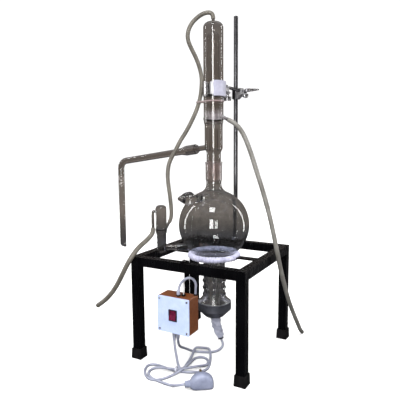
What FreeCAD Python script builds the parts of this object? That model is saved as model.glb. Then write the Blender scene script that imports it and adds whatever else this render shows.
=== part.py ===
import FreeCAD, Part
import math
import os
import re
from types import SimpleNamespace

import Sketcher

# All-glass water still on a square-tube stand. Millimetres, +Z up, +X right, -Y towards the front.
# The stand, flask and condenser share the axis x = centre_x, y = 0; the floor is z = 0.

Vector = FreeCAD.Vector
UP = Vector(0, 0, 1)
AXIS_X = Vector(1, 0, 0)
AXIS_Y = Vector(0, 1, 0)

DIMENSIONS = {
    # stand
    "centre_x": 88, "stand_side": 355, "stand_height": 305, "tube_side": 25.4, "tube_wall": 2,
    "foot_side": 31, "foot_flare": 2, "foot_height": 30, "foot_floor": 5, "foot_gap": 0.1,
    # upright rod, its nuts, and the ring that carries the flask
    "rod_radius": 7, "rod_low": 265, "rod_top": 1026, "rod_x": -4, "nut_height": 10,
    "nut_radius": 11, "fit_gap": 0.08, "ring_height": 292, "ring_radius": 71, "ring_rod": 4,
    "rope_radius": 10, "bar_width": 25.4, "bar_thickness": 4,
    # glassware
    "glass_wall": 2.5, "flask_radius": 106, "flask_height": 384, "neck_radius": 22.5,
    "throat_radius": 33, "bell_radius": 49, "bell_low": 143, "socket_radius": 24.4,
    "socket_low": 518, "socket_top": 571, "column_radius": 26.5, "jacket_radius": 29,
    "jacket_low": 693.5, "jacket_top": 969, "vapour_radius": 18, "vapour_top": 942,
    "arm_height": 617.7, "arm_slope": 7.85, "arm_radius": 8, "joint_start": 60,
    "joint_length": 34, "delivery_radius": 10.5, "delivery_reach": 348.8, "delivery_low": 281,
    "level_x": -134, "level_y": -84, "level_radius": 14.5, "chamber_radius": 16.5,
    "level_arm": 317, "hose_barb": 4.6,
    # clamp and boss head
    "clamp_low": 760, "clamp_top": 803, "clamp_arm_x": 12, "clamp_arm_z": 794, "clamp_arm_radius": 5,
    "clamp_arm_end": 208, "pivot_x": 24, "pivot_y": 42, "screw_radius": 3,
    # heater
    "cup_radius": 51.5, "cup_top": 147, "cup_wall": 1.5, "element_radius": 3.5,
    # control box
    "box_x": -21, "box_low": 116, "box_side": 100, "box_depth": 50, "box_wall": 3, "plate_thick": 3,
    "switch_wide": 26, "switch_tall": 32, "strap_wide": 15, "strap_thick": 3, "strap_x": -7,
    # cords
    "crossover_diameter": 12, "inlet_diameter": 13, "drain_diameter": 14, "lead_diameter": 7,
    "earth_diameter": 3,
}

doc = FreeCAD.newDocument("WaterStill")
sheet = doc.addObject("Spreadsheet::Sheet", "Dims")
for row, (alias, number) in enumerate(DIMENSIONS.items(), start=1):
    sheet.set(f"A{row}", alias)
    sheet.set(f"B{row}", str(number))
    sheet.setAlias(f"B{row}", alias)
doc.recompute()
size = SimpleNamespace(**{alias: float(sheet.get(alias)) for alias in DIMENSIONS})
nodes = {}


# ---------------------------------------------------------------- helpers

def bound(text):
    """An expression on the sheet, written with its plain aliases."""
    return re.sub(r"[a-z]\w*", lambda word: f"Dims.{word[0]}" if word[0] in DIMENSIONS else word[0], text)


def keep(node, obj, shift=True):
    """Name a finished sub-part and stand it on the stand's centre."""
    obj.Label = node
    if shift:
        obj.setExpression("Placement.Base.x", bound("centre_x"))
    nodes[node] = obj
    return obj


def primitive(kind, place=("0", "0", "0"), **sizes):
    """A Part primitive whose sizes and place are expressions on the sheet."""
    obj = doc.addObject("Part::" + kind, kind)
    for name, text in sizes.items():
        obj.setExpression(name, bound(text))
    for axis, text in zip("xyz", place):
        obj.setExpression("Placement.Base." + axis, bound(text))
    return obj


def box(x, y, z, wide, deep, tall):
    return primitive("Box", (x, y, z), Length=wide, Width=deep, Height=tall)


def cylinder(x, y, z, radius, tall, along=UP):
    obj = primitive("Cylinder", (x, y, z), Radius=radius, Height=tall)
    obj.Placement.Rotation = FreeCAD.Rotation(UP, along)
    return obj


def cut(base, tool):
    obj = doc.addObject("Part::Cut", "Cut")
    obj.Base = base
    obj.Tool = tool
    return obj


def fuse(*shapes):
    obj = doc.addObject("Part::MultiFuse", "Fuse")
    obj.Shapes = list(shapes)
    return obj


def group(*shapes):
    obj = doc.addObject("Part::Compound", "Group")
    obj.Links = list(shapes)
    return obj


def rounded(base, radius, direction):
    """Round the straight edges of a part that run along a direction."""
    doc.recompute()
    obj = doc.addObject("Part::Fillet", "Rounded")
    obj.Base = base
    obj.Edges = [
        (index, radius, radius)
        for index, edge in enumerate(base.Shape.Edges, start=1)
        if edge.Curve.TypeId == "Part::GeomLine"
        and abs(edge.tangentAt(edge.FirstParameter).dot(direction)) > 0.99
    ]
    return obj


def feature(node, shape):
    """A blown, swept or bent piece, whose shape comes from Part's own functions."""
    obj = doc.addObject("Part::Feature", "Piece")
    obj.Shape = shape
    return keep(node, obj)


def plane_of(body, role):
    return next(item for item in body.Origin.OriginFeatures if item.Role == role)


def new_sketch(body, role, height="0"):
    sketch = body.newObject("Sketcher::SketchObject", "Sketch")
    sketch.AttachmentSupport = (plane_of(body, role), [""])
    sketch.MapMode = "FlatFace"
    sketch.setExpression("AttachmentOffset.Base.z", bound(height))
    return sketch


def dimension(sketch, kind, vertex, text):
    """Tie a vertex of the sketch to its origin by an expression on the sheet."""
    index = sketch.addConstraint(Sketcher.Constraint(kind, -1, 1, vertex, 1, 1.0))
    sketch.setExpression(f"Constraints[{index}]", bound(text))


def polygon(sketch, corners):
    """A closed outline whose corners are pairs of expressions on the sheet."""
    spots = [sketch.evalExpression(bound(x)) for x, _ in corners]
    rises = [sketch.evalExpression(bound(y)) for _, y in corners]
    points = [Vector(float(x), float(y), 0) for x, y in zip(spots, rises)]
    count = len(points)
    for index, point in enumerate(points):
        sketch.addGeometry(Part.LineSegment(point, points[(index + 1) % count]))
    for index in range(count):
        sketch.addConstraint(Sketcher.Constraint("Coincident", index, 2, (index + 1) % count, 1))
    for index, (x, y) in enumerate(corners):
        dimension(sketch, "DistanceX", index, x)
        dimension(sketch, "DistanceY", index, y)


def square(sketch, side):
    half = f"({side}) / 2"
    polygon(sketch, [(f"-{half}", f"-{half}"), (half, f"-{half}"), (half, half), (f"-{half}", half)])


def turned(node, outline):
    """A lathe-turned piece: a closed outline of radius and height, revolved about Z."""
    body = doc.addObject("PartDesign::Body", "Body")
    sketch = new_sketch(body, "XZ_Plane")
    polygon(sketch, outline)
    turn = body.newObject("PartDesign::Revolution", "Revolution")
    turn.Profile = sketch
    turn.ReferenceAxis = (sketch, ["V_Axis"])
    turn.Angle = 360
    return keep(node, body)


def corner(before, point, after, radius):
    """The start, middle and end of the tangent arc that rounds one corner."""
    into = (point - before).normalize()
    out = (after - point).normalize()
    half = into.getAngle(out) / 2
    reach = radius * math.tan(half)
    inward = (out - into).normalize()
    middle = point + inward * radius * (1 / math.cos(half) - 1)
    return point - into * reach, middle, point + out * reach


def lathe(outline):
    """Solid of revolution about Z from (radius, height) or (radius, height, fillet) corners."""
    points = [Vector(entry[0], 0, entry[1]) for entry in outline]
    stops = []
    for index, entry in enumerate(outline):
        before, after = points[index - 1], points[(index + 1) % len(points)]
        if len(entry) == 3:
            stops.append(corner(before, points[index], after, entry[2]))
        else:
            stops.append((points[index], None, points[index]))
    edges = []
    for here, following in zip(stops, stops[1:] + stops[:1]):
        if here[1]:
            edges.append(Part.Arc(*here).toShape())
        edges.append(Part.makeLine(here[2], following[0]))
    return Part.Face(Part.Wire(edges)).revolve(Vector(), UP, 360)


def rod(start, direction, length, radius):
    return Part.makeCylinder(radius, length, start, direction)


def cone(start, direction, length, radius, end_radius):
    return Part.makeCone(radius, end_radius, length, start, direction)


def rounded_path(points, reaches):
    """Straight runs joined by tangent arcs; each reach is the length that an arc takes of its runs."""
    edges = []
    start = points[0]
    for before, point, after, reach in zip(points, points[1:], points[2:], reaches):
        half = (point - before).getAngle(after - point) / 2
        first, middle, last = corner(before, point, after, reach / math.tan(half))
        edges += [Part.makeLine(start, first), Part.Arc(first, middle, last).toShape()]
        start = last
    edges.append(Part.makeLine(start, points[-1]))
    return Part.Wire(edges)


def sweep(path, radius):
    """A round tube or rod along a path."""
    edge = path.Edges[0]
    circle = Part.makeCircle(radius, edge.Vertexes[0].Point, edge.tangentAt(edge.FirstParameter))
    return path.makePipeShell([Part.Wire(circle)], True, True)


def cord(node, diameter, route):
    """A cord's plain tube, with every arc as large as its two runs allow."""
    points = [Vector(*point) for point in route]
    reaches = [
        0.45 * min((point - before).Length, (after - point).Length)
        for before, point, after in zip(points, points[1:], points[2:])
    ]
    path = rounded_path(points, reaches)
    tube = sweep(path, diameter / 2)
    section = math.pi * diameter**2 / 4
    radii = [round(edge.Curve.Radius) for edge in path.Edges if hasattr(edge.Curve, "Radius")]
    print(f"{node}: length {path.Length:.0f}, volume {tube.Volume / (section * path.Length):.4f}, radii {radii}")
    obj = doc.addObject("Part::Feature", "Cord")
    obj.Shape = tube
    return keep(node, obj, shift=False)


# ---------------------------------------------------------------- stand

def stand():
    """Four square-tube legs in rubber feet, four top beams and their end plates."""
    half = "stand_side / 2"
    inner = "(stand_side / 2 - tube_side)"
    bore = "tube_side - 2 * tube_wall"
    leg_height = "stand_height - tube_side - foot_floor"
    for front, y in (("front", f"-{half}"), ("back", inner)):
        for side, x in (("left", f"-{half}"), ("right", inner)):
            outer = box(x, y, "foot_floor", "tube_side", "tube_side", leg_height)
            void = box(f"{x} + tube_wall", f"{y} + tube_wall", "foot_floor", bore, bore, leg_height)
            keep(f"leg_{front}_{side}", cut(outer, void))
            foot(f"foot_{front}_{side}", f"{x} + tube_side / 2", f"{y} + tube_side / 2")
    low = "stand_height - tube_side"
    for name, y in (("front_beam", f"-{half}"), ("back_beam", inner)):
        outer = box(f"-{half}", y, low, "stand_side", "tube_side", "tube_side")
        void = box(f"-{half}", f"{y} + tube_wall", f"{low} + tube_wall", "stand_side", bore, bore)
        beam = cut(outer, void)
        if name == "back_beam":
            hole = cylinder("rod_x", f"{inner} + tube_side / 2", f"{low} - 1", "rod_radius + fit_gap", "tube_side + 2")
            beam = cut(beam, hole)
        keep(name, beam)
    for name, x in (("left_beam", f"-{half}"), ("right_beam", inner)):
        outer = box(x, f"-{inner}", low, "tube_side", f"2 * {inner}", "tube_side")
        void = box(f"{x} + tube_wall", f"-{inner}", f"{low} + tube_wall", bore, f"2 * {inner}", bore)
        keep(name, cut(outer, void))
    plates = [
        box(x, f"{y} + tube_wall", f"{low} + tube_wall", "tube_wall", bore, bore)
        for y in (f"-{half}", inner)
        for x in (f"-{half}", f"{half} - tube_wall")
    ]
    keep("beam_end_plates", group(*plates))


def foot(node, x, y):
    """A rubber ferrule: a flared square block with a pocket for the leg."""
    body = doc.addObject("PartDesign::Body", "Body")
    base = new_sketch(body, "XY_Plane")
    square(base, "foot_side + foot_flare")
    top = new_sketch(body, "XY_Plane", "foot_height")
    square(top, "foot_side")
    loft = body.newObject("PartDesign::AdditiveLoft", "Loft")
    loft.Profile = base
    loft.Sections = [top]
    doc.recompute()
    mouth = new_sketch(body, "XY_Plane", "foot_height")
    square(mouth, "tube_side + 2 * foot_gap")
    pocket = body.newObject("PartDesign::Pocket", "Pocket")
    pocket.Profile = mouth
    pocket.setExpression("Length", bound("foot_height - foot_floor"))
    pocket.Reversed = False
    doc.recompute()
    if body.Shape.Volume > 0.8 * loft.Shape.Volume:
        raise ValueError(node + ": the pocket removed nothing")
    keep(node, body)
    body.setExpression("Placement.Base.x", bound(f"centre_x + {x}"))
    body.setExpression("Placement.Base.y", bound(y))


def upright():
    """The polished rod on the back beam, with a nut above and below."""
    body = turned("upright_rod", [
        ("0", "rod_low"), ("rod_radius", "rod_low"), ("rod_radius", "rod_top - 1"),
        ("rod_radius - 1", "rod_top"), ("0", "rod_top"),
    ])
    body.setExpression("Placement.Base.x", bound("centre_x + rod_x"))
    rod_y = "stand_side / 2 - tube_side / 2"
    body.setExpression("Placement.Base.y", bound(rod_y))
    nuts = []
    for low in ("stand_height", "stand_height - tube_side - nut_height"):
        hexagon = primitive("Prism", ("rod_x", rod_y, low), Circumradius="nut_radius", Height="nut_height")
        nuts.append(cut(hexagon, cylinder("rod_x", rod_y, low, "rod_radius + fit_gap", "nut_height")))
    keep("rod_nuts", group(*nuts))


def ring_core():
    """Round-bar ring between two flat bars."""
    low = "ring_height - bar_thickness / 2"
    length = "stand_side / 2 - tube_side - ring_radius"
    bars = [
        box(start, "-bar_width / 2", low, length, "bar_width", "bar_thickness")
        for start in ("ring_radius", "tube_side - stand_side / 2")
    ]
    ring = primitive("Torus", ("0", "0", "ring_height"), Radius1="ring_radius", Radius2="ring_rod")
    return fuse(ring, *bars)


def flask_ring():
    """The welded ring, wound with white fibre rope."""
    rope = primitive("Torus", ("0", "0", "ring_height"), Radius1="ring_radius", Radius2="rope_radius")
    keep("flask_ring", ring_core())
    keep("ring_rope", cut(rope, ring_core()))


# ---------------------------------------------------------------- glassware

def arm_direction():
    slope = math.radians(size.arm_slope)
    return Vector(-math.cos(slope), 0, -math.sin(slope))


def arm_point(distance):
    """A point on the sloping axis of the side arm, by its distance out from the column."""
    return Vector(-distance, 0, size.arm_height - distance * math.tan(math.radians(size.arm_slope)))


LEVEL_AXIS = Vector(size.level_x, size.level_y, 0)
TO_FLASK = (LEVEL_AXIS * -1).normalize()
FRONT_LEFT = Vector(-0.873, -0.487, 0).normalize()
STOPPER_START = Vector(-3.5, -61.5, 470)
STOPPER_AXIS = Vector(-0.42, -0.88, 0.05).normalize()
STUB_LENGTH = 26


def ball_outline(inset):
    """Edges of the flask's side from its throat to its neck, moved in by the wall's thickness."""
    ball = size.flask_radius - inset
    centre = Vector(0, 0, size.flask_height)
    ends = []
    for neck, blend, side in (
        (size.throat_radius - inset, 6 + inset, -1),
        (size.neck_radius - inset, 26 + inset, 1),
    ):
        rise = math.sqrt((ball + blend) ** 2 - (neck + blend) ** 2)
        pivot = centre + Vector(neck + blend, 0, side * rise)
        on_neck = Vector(neck, 0, pivot.z)
        on_ball = centre + (pivot - centre).normalize() * ball
        middle = pivot + ((on_neck - pivot) + (on_ball - pivot)).normalize() * blend
        ends.append((on_neck, middle, on_ball))
    low, high = ends
    equator = centre + Vector(ball, 0, 0)
    arcs = [
        Part.Arc(*low).toShape(),
        Part.Arc(low[2], equator, high[2]).toShape(),
        Part.Arc(high[2], high[1], high[0]).toShape(),
    ]
    return low[0], arcs, high[0]


def flask_solid(inset, below, above):
    """The flask filled to its axis: bell, throat, ball and neck, then its socket."""
    first, arcs, last = ball_outline(inset)
    foot_line = [Vector(0, 0, below[0][1])] + [Vector(r, 0, z) for r, z in below] + [first]
    head_line = [last] + [Vector(r, 0, z) for r, z in above] + [Vector(0, 0, above[-1][1])]
    lines = [Part.makeLine(a, b) for a, b in zip(foot_line, foot_line[1:])]
    heads = [Part.makeLine(a, b) for a, b in zip(head_line, head_line[1:])]
    closing = Part.makeLine(head_line[-1], foot_line[0])
    return Part.Face(Part.Wire(lines + arcs + heads + [closing])).revolve(Vector(), UP, 360)


def boiler():
    """The round flask: bell foot on the heater, stoppered side neck, level inlet and top socket."""
    wall = size.glass_wall
    rim, low = size.bell_radius, size.bell_low
    throat, socket = size.throat_radius, size.socket_radius
    outer = flask_solid(
        0,
        [(rim, low), (rim, low + 4), (rim - 2, low + 6), (throat + 4, low + 18), (throat, low + 24)],
        [(size.neck_radius, size.socket_low - 3), (socket, size.socket_low),
         (socket, size.socket_top - 4), (socket + 1.6, size.socket_top - 3),
         (socket + 1.6, size.socket_top)],
    )
    inner = flask_solid(
        wall,
        [(rim - wall, low - 1), (rim - wall, low + 4), (throat + 1, low + 17), (throat - wall, low + 24)],
        [(19.6, size.socket_low - 3), (19.6, size.socket_low), (21.5, size.socket_top + 1)],
    )
    beads = [
        Part.makeTorus(throat, 3.2, Vector(0, 0, low + rise)) for rise in (27, 48, 69)
    ]
    outlet = STOPPER_START - STOPPER_AXIS * 25
    stub = rod(outlet, STOPPER_AXIS, 25 + STUB_LENGTH, 11.5)
    lip = rod(STOPPER_START + STOPPER_AXIS * (STUB_LENGTH - 4), STOPPER_AXIS, 4, 13)
    mouth = TO_FLASK * -112 + UP * size.level_arm
    feed = rod(mouth, TO_FLASK, 40, 10.5)
    outer = outer.fuse(beads + [stub, lip, feed])
    stub_bore = cone(STOPPER_START - STOPPER_AXIS * 2, STOPPER_AXIS, STUB_LENGTH + 3, 8.4, 9.6)
    stub_root = rod(outlet, STOPPER_AXIS, 25, 8.4)
    feed_bore = cone(mouth - TO_FLASK * 0.1, TO_FLASK, 36, 8.0, 7.2)
    feature("boiler_flask", outer.cut([inner, stub_bore, stub_root, feed_bore]).removeSplitter())
    plug = cone(STOPPER_START, STOPPER_AXIS, STUB_LENGTH, 8.38, 9.42)
    head = lathe([
        (0, 0), (9.4, 0), (9.4, 3), (20, 18, 11), (17, 34, 18), (4, 58, 3), (0, 59.5),
    ])
    head.Placement = FreeCAD.Placement(
        STOPPER_START + STOPPER_AXIS * STUB_LENGTH, FreeCAD.Rotation(UP, STOPPER_AXIS)
    )
    feature("flask_stopper", plug.fuse(head).removeSplitter())


def column():
    """Still head with its side arm, vapour riser, inner condenser tube and water jacket."""
    wall = size.glass_wall
    low, top = size.socket_low, size.jacket_low
    body = size.column_radius
    outer = lathe([
        (0, low + 1), (19.5, low + 1), (21.35, size.socket_top - 0.5), (21.0, size.socket_top + 3, 2),
        (21.0, 600, 6), (body, 611, 8), (body, top - 11), (body + 2, top - 9), (body + 2, top - 4),
        (0, top - 4),
    ])
    arm_length = (arm_point(size.joint_start) - arm_point(0)).Length
    arm = rod(arm_point(0), arm_direction(), arm_length, size.arm_radius)
    ring = rod(arm_point(size.joint_start - 5), arm_direction(), 4, 12.5)
    male = cone(arm_point(size.joint_start), arm_direction(), 32, 11.9, 10.7)
    inner = lathe([
        (0, low), (17.0, low), (18.6, size.socket_top), (18.5, 601, 5), (body - wall, 612, 6),
        (body - wall, top - 3), (0, top - 3),
    ])
    arm_bore = rod(arm_point(0), arm_direction(), arm_length + 34, size.arm_radius - wall)
    head = outer.fuse([arm, ring, male]).cut([inner, arm_bore])
    feature("still_head", head.removeSplitter())
    feature("vapour_riser", lathe([
        (11, 606), (19.3, 606), (19.3, 608), (13, 608, 2), (13, 668, 0.9), (11, 668, 0.9),
    ]))
    vapour, roof = size.vapour_radius, size.vapour_top
    tube = lathe([
        (0, top - 3.9), (28.3, top - 3.9), (28.3, top - 0.1), (vapour, top - 0.1, 3), (vapour, roof, 15), (0, roof),
    ]).cut(lathe([(0, top - 5), (vapour - 2, top - 5), (vapour - 2, roof - 2, 13), (0, roof - 2)]))
    feature("condenser_tube", tube)
    jacket, crown = size.jacket_radius, size.jacket_top
    shell = lathe([
        (0, top), (jacket + 1.2, top, 1), (jacket + 1.2, top + 6, 1), (jacket, top + 7.5), (jacket, crown, 16),
        (size.hose_barb, crown, 3), (size.hose_barb, crown + 9), (0, crown + 9),
    ])
    side_axis = Vector(math.cos(math.radians(26)), 0, -math.sin(math.radians(26)))
    side_start = Vector(20, 0, top + 12.9)
    side = rod(side_start, side_axis, 30.5, size.hose_barb)
    bead = rod(side_start + side_axis * 26, side_axis, 3, size.hose_barb + 0.8)
    space = lathe([
        (0, top - 1), (jacket - wall, top - 1), (jacket - wall, crown - wall, 13.5), (2.6, crown - wall, 2),
        (2.6, crown + 10), (0, crown + 10),
    ])
    side_bore = rod(side_start, side_axis, 40, 2.6)
    feature("condenser_jacket", shell.fuse([side, bead]).cut([space, side_bore]).removeSplitter())


def delivery():
    """The delivery tube: a ground socket on the side arm, a sloping run and a leg with a bevelled tip."""
    start, reach = arm_point(size.joint_start), size.delivery_reach
    bend = arm_point(reach)
    tip = Vector(-reach, 0, size.delivery_low)
    radius = size.delivery_radius
    after_socket = start + arm_direction() * (size.joint_length + 18)
    half = (bend - start).getAngle(tip - bend) / 2
    path = rounded_path([after_socket, bend, tip], [26 * math.tan(half)])
    socket = rod(start, arm_direction(), size.joint_length, 15)
    neck = cone(start + arm_direction() * size.joint_length, arm_direction(), 18, 15, radius)
    outer = sweep(path, radius).fuse([socket, neck])
    bore = cone(start - arm_direction() * 0.02, arm_direction(), size.joint_length, 11.98, 10.7)
    funnel = cone(start + arm_direction() * (size.joint_length - 0.02), arm_direction(), 18.1, 10.7, radius - 2)
    bevel = Part.makeBox(40, 40, 20, Vector(-20, -20, -20))
    bevel.Placement = FreeCAD.Placement(
        tip + Vector(0, 0, 5), FreeCAD.Rotation(AXIS_Y, math.degrees(math.atan2(10, 2 * radius)))
    )
    tube = outer.cut([bore, funnel, sweep(path, radius - 2)]).cut(bevel)
    feature("delivery_tube", tube.removeSplitter())


def level_control():
    """Constant-level feeder: a standpipe with its arm into the flask, and an overflow chamber on top."""
    outside, foot_z, top = size.level_radius, 302, 366
    arm_z = size.level_arm
    pipe = lathe([
        (0, foot_z), (outside, foot_z, 5.5), (outside, top - 6), (outside + 2, top - 5),
        (outside + 2, top), (0, top),
    ])
    hollow = lathe([
        (0, foot_z + 2.5), (outside - 2.5, foot_z + 2.5, 4), (outside - 2.5, top - 21),
        (12.7, top + 0.1), (0, top + 0.1),
    ])
    pipe.translate(LEVEL_AXIS)
    hollow.translate(LEVEL_AXIS)
    arm_start = LEVEL_AXIS + UP * arm_z
    arm = rod(arm_start, TO_FLASK, 45.5, 8)
    bead = rod(arm_start + TO_FLASK * 41, TO_FLASK, 4.5, 10)
    plug = cone(arm_start + TO_FLASK * 45.5, TO_FLASK, 20, 7.85, 7.4)
    arm_bore = rod(arm_start, TO_FLASK, 66, 5)
    pipe = pipe.fuse([arm, bead, plug]).cut([hollow, arm_bore])
    feature("level_standpipe", pipe.removeSplitter())
    wide, roof = size.chamber_radius, 445
    chamber = lathe([
        (0, top - 20), (11.9, top - 20), (12.5, top + 0.3), (wide + 0.8, top + 0.3, 0.5),
        (wide + 0.8, top + 6, 1), (wide, top + 8), (wide, roof, 11), (0, roof),
    ])
    room = lathe([
        (0, top - 21), (9.8, top - 21), (9.8, top + 3), (wide - 2, top + 7, 3), (wide - 2, roof - 2, 9),
        (0, roof - 2),
    ])
    chamber.translate(LEVEL_AXIS)
    room.translate(LEVEL_AXIS)
    bend = LEVEL_AXIS + FRONT_LEFT * 24.6 + UP * 427
    spout = rounded_path([LEVEL_AXIS + FRONT_LEFT * 10 + UP * 427, bend, bend - UP * 51], [6])
    feed_start = LEVEL_AXIS - FRONT_LEFT * 10 + UP * 368
    feed_axis = (FRONT_LEFT * -14.2 + UP * 26).normalize()
    feed = rod(feed_start + feed_axis * 6, feed_axis, 23.6, size.hose_barb)
    feed_bore = rod(feed_start + feed_axis * 6, feed_axis, 30, 2.6)
    chamber = chamber.fuse([sweep(spout, size.hose_barb), feed])
    chamber = chamber.cut([room, sweep(spout, size.hose_barb - 1.8), feed_bore])
    feature("level_chamber", chamber.removeSplitter())


# ---------------------------------------------------------------- clamp

ROD_Y = (size.stand_side - size.tube_side) / 2


def sector(inner, outer, start, end, low, top):
    """A curved plate about the column's axis, between two angles in degrees."""
    corners = []
    for radius, first, last in ((inner, start, end), (outer, end, start)):
        angles = [math.radians(angle) for angle in (first, (first + last) / 2, last)]
        corners.append([Vector(radius * math.cos(a), radius * math.sin(a), low) for a in angles])
    edges = [
        Part.Arc(*corners[0]).toShape(), Part.makeLine(corners[0][2], corners[1][0]),
        Part.Arc(*corners[1]).toShape(), Part.makeLine(corners[1][2], corners[0][0]),
    ]
    return Part.Face(Part.Wire(edges)).extrude(Vector(0, 0, top - low))


def wing_screw(node, start, shaft, thick, outline):
    """A thumbscrew along x: a shaft, a collar and a flat grip, outlined by how far down and along it is."""
    tip = start + AXIS_X * shaft
    stem = rod(start, AXIS_X, shaft, size.screw_radius)
    collar = rod(tip, AXIS_X, 5, size.screw_radius + 2.5)
    corners = [tip + Vector(along, -thick / 2, -down) for down, along in outline]
    grip = Part.Face(Part.makePolygon(corners + corners[:1])).extrude(Vector(0, thick, 0))
    grip = grip.makeFillet(0.8, grip.Edges)
    feature(node, stem.fuse([collar, grip]).removeSplitter())


def clamp():
    """Two-jaw column clamp on its arm, and the boss head that holds the arm to the rod."""
    low, top = size.clamp_low, size.clamp_top
    inner = size.jacket_radius + 0.3
    arm_x, arm_z, arm_radius = size.clamp_arm_x, size.clamp_arm_z, size.clamp_arm_radius
    pivot = Vector(size.pivot_x, size.pivot_y, 0)
    shoe = sector(inner, inner + 2, 84, 262, low + 2, top - 2)
    palm = Part.makeBox(27, 23, 32, Vector(-13, 30.5, low + 10))
    ears = [
        Part.makeBox(30, 12, 5, Vector(2, 36.5, z)).fuse(Part.makeCylinder(6, 5, pivot + UP * z))
        for z in (low + 12, low + 28)
    ]
    pin = Part.makeCylinder(2.5, 45, pivot + UP * (low - 8))
    fixed = shoe.fuse([palm, pin] + ears)
    fixed = fixed.cut(Part.makeCylinder(inner, 60, Vector(0, 0, low)))
    feature("clamp_fixed_jaw", fixed.removeSplitter())
    jaw = sector(inner + 3, inner + 5.4, -80, 52, low + 4, top - 4)
    lug = Part.makeBox(9, 24, 10, Vector(19.5, 21, low + 17.5))
    eye = Part.makeCylinder(6, 10, pivot + UP * (low + 17.5))
    hole = Part.makeCylinder(2.55, 30, pivot + UP * (low + 10))
    moving = jaw.fuse([lug, eye]).cut([hole, Part.makeCylinder(inner + 3, 60, Vector(0, 0, low))])
    feature("clamp_moving_jaw", moving.removeSplitter())
    pad = sector(inner, inner + 7.5, -63, 31, low, top)
    pad = pad.makeFillet(1.2, [edge for edge in pad.Edges if abs(edge.tangentAt(edge.FirstParameter).z) > 0.9])
    feature("jaw_pad", pad.cut(jaw))
    nut = Part.makeCylinder(6, 12, pivot + UP * (low - 0.5))
    wings = Part.makeBox(25, 3, 12, pivot + Vector(-12.5, -1.5, low - 9))
    nut = nut.fuse(wings).cut(Part.makeCylinder(2.56, 40, pivot + UP * (low - 20)))
    feature("jaw_wing_nut", nut.removeSplitter())
    arm_start = Vector(arm_x, 53.5, arm_z)
    arm = rod(arm_start, AXIS_Y, size.clamp_arm_end - arm_start.y, arm_radius)
    feature("clamp_arm", arm.makeChamfer(0.8, [arm.Edges[0], arm.Edges[2]]))
    left, right = size.rod_x - 10, arm_x + 9
    foot, screw_z = arm_z - 26, arm_z - 16.5
    outline = [(left, foot), (left + 20, foot), (right, foot + 15), (right, arm_z + 8), (left, arm_z + 8)]
    corners = [Vector(x, ROD_Y - 11, z) for x, z in outline]
    head = Part.Face(Part.makePolygon(corners + corners[:1])).extrude(AXIS_Y * 22)
    head = head.makeFillet(2.5, head.Edges)
    grip = size.rod_radius + 0.1
    head = head.cut([
        Part.makeCylinder(grip, 60, Vector(size.rod_x, ROD_Y, foot - 10)),
        Part.makeBox(2 * grip, 12, 60, Vector(size.rod_x - grip, ROD_Y - 12, foot - 10)),
        rod(Vector(arm_x, 100, arm_z), AXIS_Y, 130, arm_radius + 0.02),
        rod(Vector(arm_x, ROD_Y, arm_z), AXIS_X, 40, size.screw_radius + 0.05),
        rod(Vector(size.rod_x, ROD_Y, screw_z), AXIS_X, 40, size.screw_radius + 0.05),
    ])
    feature("boss_head", head.removeSplitter())
    wing_screw("arm_thumbscrew", Vector(arm_x + arm_radius + 0.1, ROD_Y, arm_z), 12, 5, [
        (-6, 3), (6, 3), (5, 18), (2, 46), (-2, 46), (-5, 18),
    ])
    wing_screw("rod_thumbscrew", Vector(size.rod_x + size.rod_radius + 0.1, ROD_Y, screw_z), 20, 3, [
        (-7.5, 3), (7.5, 3), (7.5, 10), (4, 17), (-4, 17), (-7.5, 10),
    ])


def hose_tie(hose_x, hose_y):
    """A thin band that holds the crossover hose to the side of the condenser."""
    big, small = size.jacket_radius + 0.15, size.crossover_diameter / 2 + 1.4
    spot = Vector(hose_x, hose_y, 0)
    away = spot.Length
    angle = math.acos((big - small) / away)
    heading = math.atan2(hose_y, hose_x)
    rims = []
    for grow in (1.2, 0):
        turns = [Vector(math.cos(heading + side * angle), math.sin(heading + side * angle), 0) for side in (1, -1)]
        outward = Vector(math.cos(heading), math.sin(heading), 0)
        wide, tight = big + grow, small + grow
        edges = [
            Part.Arc(turns[0] * wide, outward * -wide, turns[1] * wide).toShape(),
            Part.makeLine(turns[1] * wide, spot + turns[1] * tight),
            Part.Arc(spot + turns[1] * tight, spot + outward * tight, spot + turns[0] * tight).toShape(),
            Part.makeLine(spot + turns[0] * tight, turns[0] * wide),
        ]
        rims.append(Part.Face(Part.Wire(edges)).extrude(Vector(0, 0, 4)))
    band = rims[0].cut(rims[1])
    band.translate(Vector(0, 0, size.clamp_low - 15))
    feature("hose_tie", band)


# ---------------------------------------------------------------- heater

def heater():
    """Heating element under the flask: base plate on a white gasket, held in a turned cup."""
    rim = "(cup_radius - cup_wall)"
    turned("heater_cup", [
        ("16", "98"), ("29", "102"), ("cup_radius", "124"), ("cup_radius", "cup_top"),
        (rim, "cup_top"), (rim, "125"), ("28", "103.8"), ("16", "99.6"),
    ])
    turned("heater_gasket", [
        ("43", "bell_low - 4"), (f"{rim} - 0.1", "bell_low - 4"), (f"{rim} - 0.1", "bell_low"), ("43", "bell_low"),
    ])
    turned("heater_base", [
        ("0", "bell_low - 8"), (f"{rim} - 0.1", "bell_low - 8"), (f"{rim} - 0.1", "bell_low - 4"),
        ("0", "bell_low - 4"),
    ])
    loops = []
    for top, half, across in ((272, 17, AXIS_X), (244, 17, AXIS_Y)):
        legs = [across * half + UP * z for z in (size.bell_low - 4, top)]
        backs = [across * -half + UP * z for z in (top, size.bell_low - 4)]
        loops.append(sweep(rounded_path(legs + backs, [half * 0.95] * 2), size.element_radius))
    feature("heater_element", Part.makeCompound(loops))
    rings = [
        Part.Wire(Part.makeCircle(radius, Vector(x, 0, z), Vector(lean, 0, -1)))
        for radius, x, z, lean in ((15.5, 2, 97.9, 0), (14, 7, 74, 0.2), (11.5, 14, 46, 0.35), (5.5, 23, 29, 0.55))
    ]
    feature("cable_boot", Part.makeLoft(rings, True))


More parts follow.
